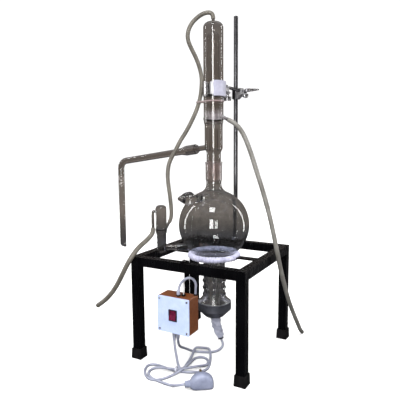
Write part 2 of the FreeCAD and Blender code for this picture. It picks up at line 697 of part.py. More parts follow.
# ---------------------------------------------------------------- control box

SWITCH_TILT = 12


def control_box():
    """Control box hung under the front beam: shell, front plate, switch, glands and strap."""
    back = "(tube_side - stand_side / 2)"
    front = f"({back} - box_depth)"
    left = "(box_x - box_side / 2)"
    shell_front = f"{front} + plate_thick"
    outer = box(left, shell_front, "box_low", "box_side", "box_depth - plate_thick", "box_side")
    outer = rounded(outer, 3, AXIS_Y)
    void = box(f"{left} + box_wall", shell_front, "box_low + box_wall", "box_side - 2 * box_wall",
               "box_depth - plate_thick - box_wall", "box_side - 2 * box_wall")
    keep("box_shell", cut(outer, void))
    plate = rounded(box(left, front, "box_low", "box_side", "plate_thick", "box_side"), 3, AXIS_Y)
    middle_z = "(box_low + box_side / 2)"
    window = box("box_x - switch_wide / 2 + 1.5", f"{front} - 1", f"{middle_z} - switch_tall / 2 + 1.5",
                 "switch_wide - 3", "plate_thick + 2", "switch_tall - 3")
    holes = []
    heads = []
    for x in ("box_x - box_side / 2 + 7", "box_x + box_side / 2 - 7"):
        for z in ("box_low + 7", "box_low + box_side - 7"):
            holes.append(cylinder(x, f"{front} - 1", z, "1.7", "plate_thick + 2", AXIS_Y))
            head = primitive("Cone", (x, f"{front} - 1.6", z), Radius1="2.4", Radius2="3.4", Height="1.6")
            head.Placement.Rotation = FreeCAD.Rotation(UP, AXIS_Y)
            slot = box(f"{x} - 4", f"{front} - 2", f"{z} - 0.4", "8", "1", "0.8")
            stem = cylinder(x, front, z, "1.6", "plate_thick", AXIS_Y)
            heads.append(fuse(cut(head, slot), stem))
    keep("box_plate", cut(plate, fuse(window, *holes)))
    keep("box_screws", group(*heads))
    bezel = rounded(box("box_x - switch_wide / 2", f"{front} - 2", f"{middle_z} - switch_tall / 2",
                        "switch_wide", "2", "switch_tall"), 1.5, AXIS_Y)
    barrel = box("box_x - switch_wide / 2 + 1.6", front, f"{middle_z} - switch_tall / 2 + 1.6",
                 "switch_wide - 3.2", "26", "switch_tall - 3.2")
    well = box("box_x - 10.2", f"{front} - 3", f"{middle_z} - 13.7", "20.4", "18", "27.4")
    keep("switch_body", cut(fuse(bezel, barrel), well))
    rocker()
    blocks = [
        box(f"box_x - 26 + {13 * index}", f"{back} - box_wall - 12", "box_low + 24", "12", "12", "16")
        for index in range(4)
    ]
    keep("terminal_strip", group(*blocks))


def rocker():
    """The rocker key: a V-topped key on a round heel, tilted to its off side."""
    pivot = Vector(size.box_x, -size.stand_side / 2 + size.tube_side - size.box_depth + 1, size.box_low + size.box_side / 2)
    profile = [(-12.4, -4.4), (-12.4, 0), (-8, 4.5), (8, 4.5), (12.4, 0), (12.4, -4.4), (0, -2.4)]
    tilt = FreeCAD.Rotation(AXIS_X, -SWITCH_TILT)
    points = [pivot + tilt.multVec(Vector(-9.7, y, z)) for z, y in profile]
    edges = [Part.makeLine(a, b) for a, b in zip(points, points[1:] + points[:1])]
    key = Part.Face(Part.Wire(edges)).extrude(Vector(19.4, 0, 0))
    pins = rod(pivot - AXIS_X * 10.1, AXIS_X, 20.2, 1.5)
    feature("switch_rocker", key.fuse(pins))


def grommets(spots):
    """Glands in the box's walls, each under or over its cable."""
    rings = [cut(cylinder(x, y, z, "5.5", "4"), cylinder(x, y, z, "2", "4")) for x, y, z in spots]
    keep("box_grommets", group(*rings))


def hanger():
    """The hook strap that hangs the box on the front beam, and its screws."""
    back = "(tube_side - stand_side / 2)"
    body = doc.addObject("PartDesign::Body", "Body")
    sketch = new_sketch(body, "YZ_Plane")
    polygon(sketch, [
        (back, "box_low + 14"), (f"{back} + strap_thick", "box_low + 14"),
        (f"{back} + strap_thick", "stand_height + strap_thick"),
        (f"{back} - 20", "stand_height + strap_thick"), (f"{back} - 20", "stand_height"),
        (back, "stand_height"),
    ])
    pad = body.newObject("PartDesign::Pad", "Pad")
    pad.Profile = sketch
    pad.setExpression("Length", bound("strap_wide"))
    pad.Midplane = True
    keep("hanger_strap", body)
    body.setExpression("Placement.Base.x", bound("centre_x + strap_x"))
    top_bolt = primitive("Prism", ("strap_x", f"{back} - 11", "stand_height + strap_thick"),
                         Circumradius="5.5", Height="4")
    backs = [
        cylinder("strap_x", f"{back} + strap_thick", z, "3.5", "2.4", AXIS_Y)
        for z in ("box_low + 26", "box_low + 84")
    ]
    keep("strap_bolts", group(top_bolt, *backs))


# ---------------------------------------------------------------- cords

CROSSOVER_HOSE = [
    (88, 0, 978), (88, 0, 989), (79, -5, 996), (64, -13, 993), (49, -21, 983), (34, -29, 967),
    (24, -34, 945), (22, -33, 922), (28, -23, 899), (37, -9, 872), (42, 2, 846), (45, 8, 820),
    (44.5, 8, 795), (43, 3, 762), (38, -9, 727), (29, -24, 693), (16, -37, 660), (2, -48, 634),
    (-9, -56, 607), (-19, -64, 586), (-26, -70, 564), (-28, -73, 535), (-26, -72.5, 505),
    (-22, -71, 475), (-19.5, -70, 445), (-18.5, -69, 422), (-20.3, -69.6, 403.7), (-24.9, -72.2, 394),
]
INLET_HOSE = [
    (135.5, 0, 692.9), (146, 0, 687.8), (158, 2, 679.5), (170, 4, 667), (183, 4.5, 647), (196, 4, 619), (209, 4, 585),
    (222, 4, 546), (237, 3, 505), (250, 2, 465), (262, 2, 425), (272, 3, 383), (280, 8, 338),
    (284, 24, 290), (287, 46, 240), (289, 76, 189), (291, 108, 140), (294, 145, 92), (298, 181, 46),
    (300, 203, 17), (301, 216, 9),
]
DRAIN_HOSE = [
    (-67.5, -96, 376), (-67.5, -96, 363), (-71, -108, 351), (-72, -130, 341), (-70, -155, 335), (-68, -179, 326),
    (-71, -198, 310), (-80, -206, 290), (-93, -208, 266), (-110, -207, 238), (-128, -206, 212),
    (-148, -205, 189), (-172, -204, 167), (-195, -203, 151),
]
LINK_LEAD = [
    (74, -184, 220), (74, -184, 233), (78, -180, 250), (89, -175, 263), (103, -169, 268), (113, -164, 260),
    (115, -159, 246), (112, -157, 233), (112, -157, 220),
]
EARTH_LEAD = [
    (86, -177, 220), (86, -177, 228), (83, -173, 239), (80, -166, 249), (81, -158, 255), (81, -152.1, 255),
]
HEATER_LEAD = [
    (70, -183, 112), (70, -183, 100), (67, -178, 84), (61, -165, 68), (54, -148, 54), (50, -129, 42),
    (49, -110, 31), (49, -90, 18), (52, -73, 7), (62, -63, 3.6), (79, -57, 3.6), (97, -49, 3.6),
    (112, -34, 4), (119, -18, 7), (120, -5, 13), (116, 0, 20), (111, 0, 29),
]
MAINS_LEAD = [
    (58, -183, 112), (58, -183, 100), (60, -186, 84), (64, -189, 66), (69, -191, 48), (73, -192, 32),
    (77, -192, 18), (83, -191, 9),
]


def hank():
    """The outer shape of the tied hank: two flat lobes that meet at the tie."""
    lobes = []
    for x, y, radius in ((100, -78, 44), (18, -226, 40)):
        tie = Vector(86, -186, 0)
        middle = Vector(x, y, 0)
        heading = math.atan2(y - tie.y, x - tie.x)
        spread = math.acos((radius - 14) / (middle - tie).Length)
        rims = []
        for side in (1, -1):
            angle = heading + math.pi - side * spread
            rims.append(Vector(math.cos(angle), math.sin(angle), 0))
        away = (middle - tie).normalize()
        edges = [
            Part.Arc(tie + rims[0] * 14, tie - away * 14, tie + rims[1] * 14).toShape(),
            Part.makeLine(tie + rims[1] * 14, middle + rims[1] * radius),
            Part.Arc(middle + rims[1] * radius, middle + away * radius, middle + rims[0] * radius).toShape(),
            Part.makeLine(middle + rims[0] * radius, tie + rims[0] * 14),
        ]
        lobes.append(Part.Face(Part.Wire(edges)).extrude(Vector(0, 0, 15)))
    obj = doc.addObject("Part::Feature", "Hank")
    obj.Shape = lobes[0].fuse(lobes[1]).removeSplitter()
    keep("mains_hank", obj, shift=False)


def mains_plug():
    """Moulded three-pin plug lying on its edge, with a ribbed grip and its pins at the back."""
    turn = FreeCAD.Placement(Vector(170, -229, 0), FreeCAD.Rotation(UP, 36))
    body = Part.makeBox(60, 30, 42, Vector(-30, -15, 0))
    body = body.makeFillet(12, [edge for edge in body.Edges if abs(edge.tangentAt(0).y) > 0.9])
    body = body.makeFillet(4, [edge for edge in body.Edges if edge.BoundBox.YMin > 14.9 or edge.BoundBox.YMax < -14.9])
    grip = cone(Vector(-45, 0, 15), AXIS_X, 17, 7, 9.5)
    ribs = [rod(Vector(x, 0, 15), AXIS_X, 2.2, 9.2) for x in (-43, -38.5, -34)]
    pins = []
    for x, z, radius, length in ((0, 31, 3.5, 20), (-9.5, 13, 2.5, 15), (9.5, 13, 2.5, 15)):
        pins.append(rod(Vector(x, 15, z), AXIS_Y, length, radius))
    plug = body.fuse([grip] + ribs).removeSplitter()
    for node, shape in (("mains_plug", plug), ("plug_pins", Part.makeCompound(pins))):
        shape.Placement = turn
        obj = doc.addObject("Part::Feature", "Plug")
        obj.Shape = shape
        keep(node, obj, shift=False)


def build():
    stand()
    upright()
    flask_ring()
    boiler()
    column()
    delivery()
    level_control()
    clamp()
    hose_tie(-47.1, -2.1)
    heater()
    control_box()
    grommets([("-14", "-184", "216"), ("24", "-157", "216"), ("-2", "-177", "216"),
              ("-30", "-183", "112"), ("-18", "-183", "112")])
    hanger()
    cord("crossover_hose", size.crossover_diameter, CROSSOVER_HOSE)
    cord("inlet_hose", size.inlet_diameter, INLET_HOSE)
    cord("drain_hose", size.drain_diameter, DRAIN_HOSE)
    cord("link_lead", size.lead_diameter, LINK_LEAD)
    cord("earth_lead", size.earth_diameter, EARTH_LEAD)
    cord("heater_lead", size.lead_diameter, HEATER_LEAD)
    cord("mains_lead", size.lead_diameter, MAINS_LEAD)
    hank()
    mains_plug()


def export():
    """Stop on any failed object or shape, then write one STEP file for each sub-part."""
    doc.recompute()
    for obj in doc.Objects:
        if {"Invalid", "Error"} & set(obj.State):
            raise ValueError(f"{obj.Label} failed: {obj.State}")
    bad = [node for node, obj in nodes.items() if obj.Shape.isNull() or not obj.Shape.isValid()]
    if bad:
        raise ValueError(f"bad shapes: {bad}")
    os.makedirs("parts", exist_ok=True)
    for node, obj in nodes.items():
        obj.Shape.exportStep(f"parts/{node}.step")
    print(len(nodes), "sub-parts")


build()
export()
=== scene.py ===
import math

import bmesh
import bpy
from mathutils import Matrix, Vector, noise


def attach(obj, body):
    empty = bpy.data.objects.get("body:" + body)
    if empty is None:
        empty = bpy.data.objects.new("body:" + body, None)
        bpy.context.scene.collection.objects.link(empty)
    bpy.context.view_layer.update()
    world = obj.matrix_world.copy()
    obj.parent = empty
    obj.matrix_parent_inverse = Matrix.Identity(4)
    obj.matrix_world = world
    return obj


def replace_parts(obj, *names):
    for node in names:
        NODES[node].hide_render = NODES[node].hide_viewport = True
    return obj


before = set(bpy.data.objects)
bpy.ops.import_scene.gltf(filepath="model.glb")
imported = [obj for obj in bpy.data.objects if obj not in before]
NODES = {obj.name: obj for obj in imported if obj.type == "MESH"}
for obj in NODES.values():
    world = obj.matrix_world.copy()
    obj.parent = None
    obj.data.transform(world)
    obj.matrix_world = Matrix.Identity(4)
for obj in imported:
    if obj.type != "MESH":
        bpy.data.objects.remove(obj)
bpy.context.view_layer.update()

STILL_X = 0.088


def metres(points):
    """Points given in millimetres, as vectors in metres."""
    return [Vector(point) / 1000 for point in points]


def round_angles(count):
    """Angles evenly spaced round a full turn."""
    return [2 * math.pi * index / count for index in range(count)]


def new_object(name, data):
    """A new object in the scene."""
    obj = bpy.data.objects.new(name, data)
    bpy.context.scene.collection.objects.link(obj)
    return obj


# ---------------------------------------------------------------- materials

def fill_ramp(ramp, stops):
    """Set a colour ramp from (position, colour) pairs."""
    while len(ramp.elements) < len(stops):
        ramp.elements.new(0.5)
    for element, (position, colour) in zip(ramp.elements, stops):
        element.position = position
        element.color = (*colour, 1)


class Surface:
    """One procedural material: a Principled shader with helpers for the patterns that drive it.

    Settings name the shader's sockets with underscores. Sizes are in metres, and noise scales are per metre.
    """

    def __init__(self, name, **settings):
        self.material = bpy.data.materials.new(name)
        self.material.use_nodes = True
        self.nodes = self.material.node_tree.nodes
        self.links = self.material.node_tree.links
        self.nodes.clear()
        self.output = self.nodes.new("ShaderNodeOutputMaterial")
        self.shader = self.nodes.new("ShaderNodeBsdfPrincipled")
        self.links.new(self.shader.outputs[0], self.output.inputs[0])
        self.place = self.nodes.new("ShaderNodeTexCoord").outputs["Object"]
        self.normal = None
        for socket, value in settings.items():
            self.shader.inputs[socket.replace("_", " ")].default_value = value

    def noise(self, scale, detail, stretch=(1, 1, 1), rough=0.55):
        """Noise in the object's own space; most of it lies between 0.3 and 0.7."""
        mapping = self.nodes.new("ShaderNodeMapping")
        mapping.inputs["Scale"].default_value = stretch
        self.links.new(self.place, mapping.inputs["Vector"])
        texture = self.nodes.new("ShaderNodeTexNoise")
        texture.inputs["Scale"].default_value = scale
        texture.inputs["Detail"].default_value = detail
        texture.inputs["Roughness"].default_value = rough
        self.links.new(mapping.outputs[0], texture.inputs["Vector"])
        return texture.outputs["Fac"]

    def span(self, source, low, high, from_low=0.3, from_high=0.7):
        """The source, with its own range stretched to run from low to high."""
        node = self.nodes.new("ShaderNodeMapRange")
        node.inputs["From Min"].default_value = from_low
        node.inputs["From Max"].default_value = from_high
        node.inputs["To Min"].default_value = low
        node.inputs["To Max"].default_value = high
        self.links.new(source, node.inputs["Value"])
        return node.outputs[0]

    def colours(self, source, stops):
        """A colour ramp over the source."""
        ramp = self.nodes.new("ShaderNodeValToRGB")
        fill_ramp(ramp.color_ramp, stops)
        self.links.new(source, ramp.inputs[0])
        return ramp.outputs[0]

    def mix(self, factor, first, second, blend="MIX"):
        """A mix of two colours; each argument is a socket, a colour or a number."""
        node = self.nodes.new("ShaderNodeMix")
        node.data_type = "RGBA"
        node.blend_type = blend
        sockets = node.inputs[0], node.inputs[6], node.inputs[7]
        for socket, value in zip(sockets, (factor, first, second)):
            if isinstance(value, bpy.types.NodeSocket):
                self.links.new(value, socket)
            elif isinstance(value, tuple):
                socket.default_value = (*value, 1)
            else:
                socket.default_value = value
        return node.outputs[2]

    def colour(self, source):
        """The shader's colour, from a source."""
        self.links.new(source, self.shader.inputs["Base Color"])
        return self

    def rough(self, source):
        """The shader's roughness, from a source."""
        self.links.new(source, self.shader.inputs["Roughness"])
        return self

    def soft_edges(self, radius):
        """Edges rounded in the shading only."""
        bevel = self.nodes.new("ShaderNodeBevel")
        bevel.samples = 4
        bevel.inputs["Radius"].default_value = radius
        self.normal = bevel.outputs[0]
        self.links.new(self.normal, self.shader.inputs["Normal"])
        return self

    def bump(self, source, strength, distance=0.0005):
        """Fine relief in the shading, on top of any soft edges."""
        node = self.nodes.new("ShaderNodeBump")
        node.inputs["Strength"].default_value = strength
        node.inputs["Distance"].default_value = distance
        self.links.new(source, node.inputs["Height"])
        if self.normal:
            self.links.new(self.normal, node.inputs["Normal"])
        self.normal = node.outputs[0]
        self.links.new(self.normal, self.shader.inputs["Normal"])
        return self


def blend_by_ray(nodes, links, ray, first, second):
    """First shader for ordinary rays, second for the named kind of ray."""
    path = nodes.new("ShaderNodeLightPath")
    pick = nodes.new("ShaderNodeMixShader")
    links.new(path.outputs[ray], pick.inputs[0])
    links.new(first, pick.inputs[1])
    links.new(second, pick.inputs[2])
    return pick.outputs[0]


def black_paint():
    paint = Surface("black_paint", Specular_IOR_Level=0.09)
    blotch = paint.noise(14, 5)
    scuff = paint.noise(160, 6, (1, 1, 0.25))
    base = paint.colours(blotch, [(0.3, (0.0006, 0.0006, 0.0008)), (0.7, (0.002, 0.002, 0.0026))])
    worn = paint.span(scuff, 0, 1, 0.68, 0.8)
    paint.colour(paint.mix(worn, base, (0.006, 0.0055, 0.007)))
    paint.rough(paint.span(scuff, 0.16, 0.34)).soft_edges(0.0011)
    return paint.bump(paint.noise(420, 3), 0.12).material


def black_rubber():
    rubber = Surface("black_rubber", Specular_IOR_Level=0.12)
    dust = rubber.noise(60, 6)
    rubber.colour(rubber.colours(dust, [(0.35, (0.002, 0.002, 0.002)), (0.75, (0.009, 0.008, 0.009))]))
    rubber.rough(rubber.span(dust, 0.5, 0.75)).soft_edges(0.0016)
    return rubber.bump(rubber.noise(500, 4), 0.3).material


def polished_steel():
    steel = Surface("polished_steel", Metallic=1.0)
    lines = steel.noise(90, 5, (30, 30, 0.4))
    stain = steel.noise(18, 4)
    base = steel.colours(stain, [(0.3, (0.06, 0.06, 0.065)), (0.7, (0.15, 0.15, 0.16))])
    steel.colour(base).rough(steel.span(lines, 0.14, 0.34)).soft_edges(0.0004)
    return steel.bump(lines, 0.06, 0.0002).material


def plated_steel():
    steel = Surface("plated_steel", Metallic=1.0)
    grain = steel.noise(240, 5)
    stain = steel.noise(35, 4)
    base = steel.colours(stain, [(0.3, (0.5, 0.5, 0.52)), (0.7, (0.72, 0.72, 0.75))])
    steel.colour(base).rough(steel.span(grain, 0.16, 0.36)).soft_edges(0.0006)
    return steel.bump(grain, 0.08, 0.0002).material


def cast_metal():
    metal = Surface("cast_metal", Metallic=1.0)
    grain = metal.noise(380, 5)
    stain = metal.noise(40, 4)
    base = metal.colours(stain, [(0.3, (0.33, 0.33, 0.34)), (0.7, (0.55, 0.55, 0.57))])
    metal.colour(base).rough(metal.span(grain, 0.3, 0.55)).soft_edges(0.001)
    return metal.bump(grain, 0.25, 0.0004).material


GLASS_IOR = 1.47
GLASS_SHADOW = (0.9, 0.9, 0.9)
STAIN_WANDER = 0.003
WHITE = (1, 1, 1)
CLEAR, CLEAN, COLUMN = (0.88, 0.88, 0.87), (0.94, 0.94, 0.93), (0.9, 0.885, 0.87)
# The first two colours below are painted shade: a darker grey-blue band low on the flask that stands in for
# the dim room seen through its lower half.
PAINTED_SHADE, HALF_PAINTED_SHADE, BLUSH = (0.7, 0.72, 0.75), (0.82, 0.83, 0.85), (0.97, 0.86, 0.85)
# The second colour below is a painted highlight: a brighter lilac-white band just above the jacket's seam,
# also frosted by its roughness. The first colour is the seam's real dark joint.
SEAM, PAINTED_HIGHLIGHT = (0.2, 0.19, 0.2), (1.0, 0.975, 1.0)
FLASK_FILM, JACKET_FILM = (0.8, 0.82, 0.82), (0.94, 0.94, 0.94)
# Bands by height: (height in metres, colour, roughness). Most are real tints and frost, but the flask's lower
# band is painted shade and the jacket's band above its seam is a painted highlight.
FLASK_BANDS = [
    (0.14, CLEAN, 0.4), (0.1475, CLEAN, 0.4), (0.149, CLEAN, 0), (0.27, CLEAN, 0), (0.284, PAINTED_SHADE, 0),
    (0.31, PAINTED_SHADE, 0), (0.345, HALF_PAINTED_SHADE, 0), (0.375, CLEAN, 0), (0.512, CLEAN, 0), (0.526, BLUSH, 0.22),
    (0.58, BLUSH, 0.22),
]
JACKET_BANDS = [
    (0.67, COLUMN, 0), (0.68, COLUMN, 0), (0.683, SEAM, 0), (0.6925, SEAM, 0), (0.6945, PAINTED_HIGHLIGHT, 0.24),
    (0.709, PAINTED_HIGHLIGHT, 0.24), (0.732, COLUMN, 0), (0.76, COLUMN, 0),
]


def stain(surface, rows, film):
    """Colour and frost that change with height along a ragged line, under a mottled film. Some of the bands
    are painted shade or a painted highlight rather than stains.
    """
    heights, colours, frosts = zip(*rows)
    low, high = heights[0], heights[-1]
    split = surface.nodes.new("ShaderNodeSeparateXYZ")
    surface.links.new(surface.place, split.inputs[0])
    ragged = surface.nodes.new("ShaderNodeMath")
    surface.links.new(split.outputs["Z"], ragged.inputs[0])
    wander = surface.span(surface.noise(30, 4), -STAIN_WANDER, STAIN_WANDER)
    surface.links.new(wander, ragged.inputs[1])
    share = surface.span(ragged.outputs[0], 0, 1, low, high)
    places = [(height - low) / (high - low) for height in heights]
    height_bands = surface.colours(share, list(zip(places, colours)))
    mottle = surface.colours(surface.noise(34, 6, (1, 1, 1.5), 0.7), [(0.4, film), (0.6, WHITE)])
    surface.colour(surface.mix(1.0, height_bands, mottle, "MULTIPLY"))
    surface.rough(surface.colours(share, [(at, (frost,) * 3) for at, frost in zip(places, frosts)]))


def glass(name, tint, height_bands=None, film=WHITE):
    """Faintly streaked glass that lets the light of lamps through."""
    clear = Surface(name, Base_Color=(*tint, 1), Roughness=0.0, IOR=GLASS_IOR, Transmission_Weight=1.0)
    clear.bump(clear.noise(16, 2, (1, 1, 0.5)), 0.008, 0.002)
    if height_bands:
        stain(clear, height_bands, film)
    through = clear.nodes.new("ShaderNodeBsdfTransparent")
    through.inputs[0].default_value = (*GLASS_SHADOW, 1)
    shown = blend_by_ray(
        clear.nodes, clear.links, "Is Shadow Ray", clear.shader.outputs[0], through.outputs[0],
    )
    clear.links.new(shown, clear.output.inputs[0])
    return clear.material


def fibre_rope():
    rope = Surface("fibre_rope", Roughness=0.9, Sheen_Weight=0.4, Sheen_Roughness=0.5)
    fibres = rope.noise(520, 6, (1, 1, 1), 0.7)
    soil = rope.noise(45, 5)
    base = rope.colours(soil, [
        (0.3, (0.34, 0.34, 0.46)), (0.55, (0.5, 0.5, 0.66)), (0.8, (0.64, 0.64, 0.78)),
    ])
    rope.colour(rope.mix(rope.span(fibres, 0, 0.5), base, (0.17, 0.17, 0.24)))
    return rope.bump(fibres, 1.0, 0.0016).material


def white_pad():
    pad = Surface("white_pad", Sheen_Weight=0.2)
    soil = pad.noise(60, 5)
    pad.colour(pad.colours(soil, [(0.3, (0.27, 0.27, 0.34)), (0.65, (0.36, 0.36, 0.44))]))
    pad.rough(pad.span(soil, 0.55, 0.8)).soft_edges(0.001)
    return pad.bump(pad.noise(700, 4), 0.35, 0.0006).material


def hose_rubber(name, dark, light):
    rubber = Surface(name, Coat_Weight=0.12, Coat_Roughness=0.35)
    soil = rubber.noise(38, 6, (1, 1, 0.6))
    bloom = rubber.noise(210, 4)
    base = rubber.colours(soil, [(0.3, dark), (0.7, light)])
    rubber.colour(rubber.mix(rubber.span(bloom, 0, 0.35), base, tuple(0.55 * value for value in light)))
    rubber.rough(rubber.span(bloom, 0.36, 0.6))
    return rubber.bump(bloom, 0.12, 0.0004).material


def white_sheath(name, dark, light):
    sheath = Surface(name, Coat_Weight=0.1, Coat_Roughness=0.3)
    soil = sheath.noise(55, 5)
    sheath.colour(sheath.colours(soil, [(0.3, dark), (0.7, light)]))
    sheath.rough(sheath.span(soil, 0.32, 0.5))
    return sheath.bump(sheath.noise(600, 3), 0.08, 0.0003).material


def box_paint(name, dark, light, edge=0.0009):
    paint = Surface(name, Coat_Weight=0.2, Coat_Roughness=0.25)
    blotch = paint.noise(30, 5)
    grain = paint.noise(260, 5)
    base = paint.colours(blotch, [(0.3, dark), (0.7, light)])
    paint.colour(paint.mix(paint.span(grain, 0, 0.3), base, tuple(0.7 * value for value in dark)))
    paint.rough(paint.span(grain, 0.3, 0.48)).soft_edges(edge)
    return paint.bump(grain, 0.1, 0.0003).material


def dark_cup():
    metal = Surface("dark_cup", Metallic=0.55)
    stain = metal.noise(30, 6)
    turning = metal.noise(60, 3, (0.2, 0.2, 26))
    base = metal.colours(stain, [(0.3, (0.035, 0.037, 0.045)), (0.7, (0.1, 0.105, 0.125))])
    metal.colour(base).rough(metal.span(turning, 0.28, 0.5)).soft_edges(0.001)
    return metal.bump(turning, 0.12, 0.0004).material


def woven_sleeve():
    sleeve = Surface("woven_sleeve", Sheen_Weight=0.3)
    weave = sleeve.noise(260, 3, (1, 1, 2.4))
    soil = sleeve.noise(34, 5)
    base = sleeve.colours(soil, [
        (0.25, (0.12, 0.125, 0.16)), (0.5, (0.26, 0.27, 0.34)), (0.8, (0.42, 0.43, 0.52)),
    ])
    sleeve.colour(sleeve.mix(sleeve.span(weave, 0, 0.4), base, (0.14, 0.145, 0.18)))
    sleeve.rough(sleeve.span(weave, 0.55, 0.8))
    return sleeve.bump(weave, 0.6, 0.001).material


def rocker_red():
    red = Surface("rocker_red", Coat_Weight=0.5, Coat_Roughness=0.1)
    depth = red.noise(120, 3)
    red.colour(red.colours(depth, [(0.3, (0.045, 0.003, 0.014)), (0.7, (0.12, 0.006, 0.03))]))
    return red.rough(red.span(depth, 0.15, 0.3)).soft_edges(0.0005).material


def element_metal():
    metal = Surface("element_metal", Metallic=1.0)
    heat = metal.noise(45, 5)
    base = metal.colours(heat, [
        (0.3, (0.16, 0.158, 0.155)), (0.55, (0.3, 0.295, 0.29)), (0.8, (0.42, 0.41, 0.41)),
    ])
    metal.colour(base).rough(metal.span(heat, 0.3, 0.55))
    return metal.bump(metal.noise(350, 4), 0.2, 0.0003).material


def brass_pin():
    brass = Surface("brass_pin", Metallic=1.0)
    stain = brass.noise(120, 4)
    brass.colour(brass.colours(stain, [(0.3, (0.5, 0.36, 0.14)), (0.7, (0.78, 0.6, 0.28))]))
    return brass.rough(brass.span(stain, 0.18, 0.36)).soft_edges(0.0004).material


MATERIALS = {
    "black_paint": black_paint(),
    "black_rubber": black_rubber(),
    "polished_steel": polished_steel(),
    "plated_steel": plated_steel(),
    "cast_metal": cast_metal(),
    "clear_glass": glass("clear_glass", CLEAR),
    "flask_glass": glass("flask_glass", CLEAN, FLASK_BANDS, FLASK_FILM),
    "column_glass": glass("column_glass", COLUMN),
    "jacket_glass": glass("jacket_glass", COLUMN, JACKET_BANDS, JACKET_FILM),
    "fibre_rope": fibre_rope(),
    "white_pad": white_pad(),
    "grey_hose": hose_rubber("grey_hose", (0.055, 0.05, 0.041), (0.14, 0.128, 0.108)),
    "pale_hose": hose_rubber("pale_hose", (0.085, 0.08, 0.07), (0.2, 0.194, 0.18)),
    "white_lead": white_sheath("white_lead", (0.145, 0.152, 0.2), (0.265, 0.28, 0.345)),
    "earth_sheath": white_sheath("earth_sheath", (0.2, 0.2, 0.19), (0.42, 0.41, 0.4)),
    "plug_grey": white_sheath("plug_grey", (0.13, 0.145, 0.21), (0.22, 0.24, 0.32)),
    "box_brown": box_paint("box_brown", (0.1, 0.028, 0.008), (0.17, 0.055, 0.016)),
    "box_front": box_paint("box_front", (0.38, 0.46, 0.68), (0.46, 0.54, 0.76), 0.0012),
    "switch_black": box_paint("switch_black", (0.008, 0.008, 0.014), (0.02, 0.02, 0.03), 0.0005),
    "rocker_red": rocker_red(),
    "dark_cup": dark_cup(),
    "element_metal": element_metal(),
    "woven_sleeve": woven_sleeve(),
    "tie_pink": white_sheath("tie_pink", (0.14, 0.1, 0.1), (0.25, 0.19, 0.19)),
    "brass_pin": brass_pin(),
    "tie_white": white_sheath("tie_white", (0.3, 0.31, 0.36), (0.45, 0.46, 0.53)),
}

NODE_MATERIALS = {
    "black_paint": [
        "leg_front_left", "leg_front_right", "leg_back_left", "leg_back_right", "front_beam", "back_beam",
        "left_beam", "right_beam", "beam_end_plates", "flask_ring", "hanger_strap",
    ],
    "black_rubber": [
        "foot_front_left", "foot_front_right", "foot_back_left", "foot_back_right", "box_grommets",
    ],
    "polished_steel": ["upright_rod", "clamp_arm"],
    "plated_steel": [
        "rod_nuts", "clamp_fixed_jaw", "arm_thumbscrew", "rod_thumbscrew", "jaw_wing_nut", "box_screws",
        "strap_bolts",
    ],
    "cast_metal": ["boss_head", "clamp_moving_jaw"],
    "flask_glass": ["boiler_flask"],
    "clear_glass": ["flask_stopper", "level_standpipe", "level_chamber"],
    "column_glass": ["still_head", "vapour_riser", "delivery_tube"],
    "jacket_glass": ["condenser_tube", "condenser_jacket"],
    "white_pad": ["jaw_pad", "heater_gasket"],
    "box_brown": ["box_shell"],
    "box_front": ["box_plate"],
    "switch_black": ["switch_body", "terminal_strip"],
    "rocker_red": ["switch_rocker"],
    "dark_cup": ["heater_cup"],
    "element_metal": ["heater_element", "heater_base"],
    "tie_pink": ["hose_tie"],
    "brass_pin": ["plug_pins"],
}


for material_name, node_names in NODE_MATERIALS.items():
    for node_name in node_names:
        slots = NODES[node_name].data.materials
        slots.clear()
        slots.append(MATERIALS[material_name])


# ---------------------------------------------------------------- cords and soft pieces

CORD_SMOOTHNESS = 10
CORD_ROUNDNESS = 6
CROSSOVER_WIDE, INLET_WIDE, DRAIN_WIDE = 0.012, 0.013, 0.014
LEAD_WIDE, EARTH_WIDE = 0.007, 0.003


def cord_curve(name, points, diameter, material):
    """A free cord: one smooth spline drawn by its route's control points, in millimetres."""
    curve = bpy.data.curves.new(name, "CURVE")
    curve.dimensions = "3D"
    spline = curve.splines.new("NURBS")
    spline.points.add(len(points) - 1)
    for point, place in zip(spline.points, metres(points)):
        point.co = (*place, 1)
    spline.order_u = 3
    spline.use_endpoint_u = True
    spline.resolution_u = CORD_SMOOTHNESS
    curve.bevel_depth = diameter / 2
    curve.bevel_resolution = CORD_ROUNDNESS
    curve.use_fill_caps = True
    curve.materials.append(MATERIALS[material])
    obj = new_object(name, curve)
    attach(obj, "stand")
    return obj


CROSSOVER_HOSE = [
    (88, 0, 978), (88, 0, 989), (79, -5, 996), (64, -13, 993), (49, -21, 983), (34, -29, 967),
    (24, -34, 945), (22, -33, 922), (28, -23, 899), (37, -9, 872), (42, 2, 846), (45, 8, 820),
    (44.5, 8, 795), (43, 3, 762), (38, -9, 727), (29, -24, 693), (16, -37, 660), (2, -48, 634),
    (-9, -56, 607), (-19, -64, 586), (-26, -70, 564), (-28, -73, 535), (-26, -72.5, 505),
    (-22, -71, 475), (-19.5, -70, 445), (-18.5, -69, 422), (-20.3, -69.6, 403.7), (-24.9, -72.2, 394),
]
INLET_HOSE = [
    (135.5, 0, 692.9), (146, 0, 687.8), (158, 2, 679.5), (170, 4, 667), (183, 4.5, 647), (196, 4, 619),
    (209, 4, 585), (222, 4, 546), (237, 3, 505), (250, 2, 465), (262, 2, 425), (272, 3, 383),
    (280, 8, 338), (284, 24, 290), (287, 46, 240), (289, 76, 189), (291, 108, 140), (294, 145, 92),
    (298, 181, 46), (300, 203, 17), (301, 216, 9),
]
